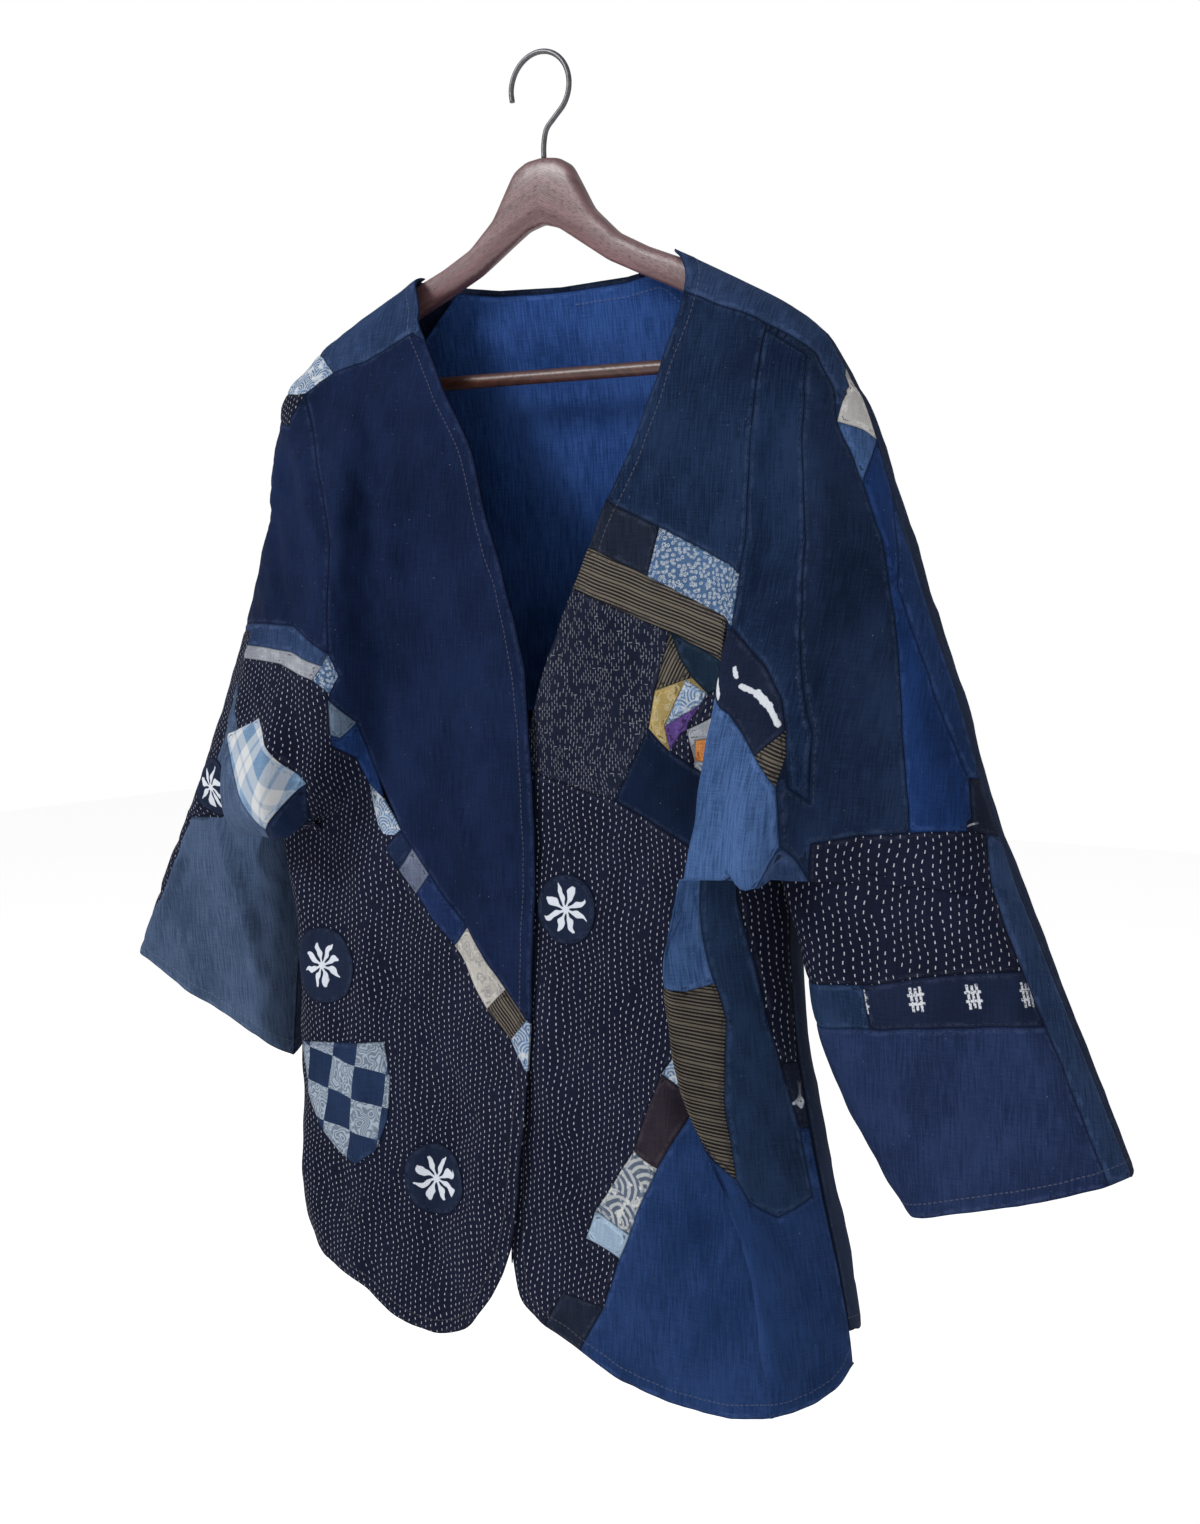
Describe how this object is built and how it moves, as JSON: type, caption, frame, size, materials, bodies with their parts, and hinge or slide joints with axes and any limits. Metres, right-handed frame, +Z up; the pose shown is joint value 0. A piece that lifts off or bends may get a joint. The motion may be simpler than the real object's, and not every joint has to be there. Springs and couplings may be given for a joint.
{
  "type": "patchwork jacket on a hanger",
  "caption": "Long-sleeved open-front jacket of patched indigo cloth, hung on a wooden hanger with a round bar and a wire hook.",
  "frame": {"origin": "inner top of the hook, where it rests on its rail", "axes": "+X to the wearer's left, +Y to the back, +Z up"},
  "size_m": [0.7544, 0.1579, 0.8381],
  "materials": {
    "back_cloth": "matte",
    "bar_wood": "satin",
    "bright_blue": "matte",
    "brown_stripe": "matte",
    "chambray": "matte",
    "charcoal": "matte",
    "cream": "matte",
    "dark_blue": "matte",
    "dark_slate": "matte",
    "deep_indigo": "matte",
    "faded_navy": "matte",
    "ikat": "matte",
    "indigo_black": "matte",
    "indigo_cloth": "matte",
    "kasuri": "matte",
    "kasuri_band": "matte",
    "light_denim": "matte",
    "lining": "matte",
    "oatmeal": "matte",
    "ochre": "matte",
    "pale_print": "matte",
    "plaid": "matte",
    "plum": "matte",
    "pocket": "matte",
    "roundel": "matte",
    "royal_blue": "matte",
    "royal_navy": "matte",
    "slate": "matte",
    "slate_green": "matte",
    "slate_navy": "matte",
    "steel": "satin",
    "wood": "satin"
  },
  "bodies": {
    "root": {"back_lower_left": "back_cloth", "back_lower_right": "back_cloth", "back_upper_left": "back_cloth", "back_upper_right": "back_cloth", "band_brown": "brown_stripe", "diagonal_bright_blue": "bright_blue", "diagonal_brown_stripe": "brown_stripe", "diagonal_cream_print": "cream", "diagonal_dark_navy": "dark_blue", "diagonal_light_print": "pale_print", "diagonal_royal": "royal_navy", "diamond_indigo": "deep_indigo", "field_kasuri": "kasuri", "front_left_dark": "dark_slate", "front_left_panel": "slate_navy", "front_left_sashiko": "indigo_black", "front_right_panel": "faded_navy", "front_right_sashiko": "indigo_black", "hanger_body": "wood", "hexagon_beige": "cream", "hexagon_ochre": "ochre", "hook": "steel", "lining_back": "lining", "panel_royal": "royal_blue", "panel_slate_green": "slate_green", "patch_brush": "pale_print", "patch_charcoal": "charcoal", "patch_cream": "cream", "patch_ikat": "ikat", "patch_pebble": "pale_print", "patch_plaid": "plaid", "piece_brown_rib": "brown_stripe", "piece_dotted": "indigo_black", "piece_fan": "pale_print", "piece_plum": "plum", "piece_wave": "pale_print", "pocket_right": "pocket", "roundel_front_left": "roundel", "roundel_hem_right": "roundel", "roundel_side_right": "roundel", "shoulder_print_right": "pale_print", "shoulder_strip_left": "slate", "shoulder_strip_right": "slate", "sleeve_back_left": "back_cloth", "sleeve_back_right": "back_cloth", "sleeve_left_blue": "bright_blue", "sleeve_left_kasuri": "kasuri_band", "sleeve_left_lower": "indigo_cloth", "sleeve_left_sashiko": "indigo_black", "sleeve_left_slate": "slate", "sleeve_right_band": "oatmeal", "sleeve_right_chambray": "chambray", "sleeve_right_lower": "chambray", "sleeve_right_sashiko": "indigo_black", "sleeve_right_slate": "slate", "sleeve_right_upper": "faded_navy", "strip_side_sashiko": "indigo_black", "trouser_bar": "bar_wood", "underarm_denim": "light_denim", "underarm_disc": "ikat"}
  },
  "joints": []
}
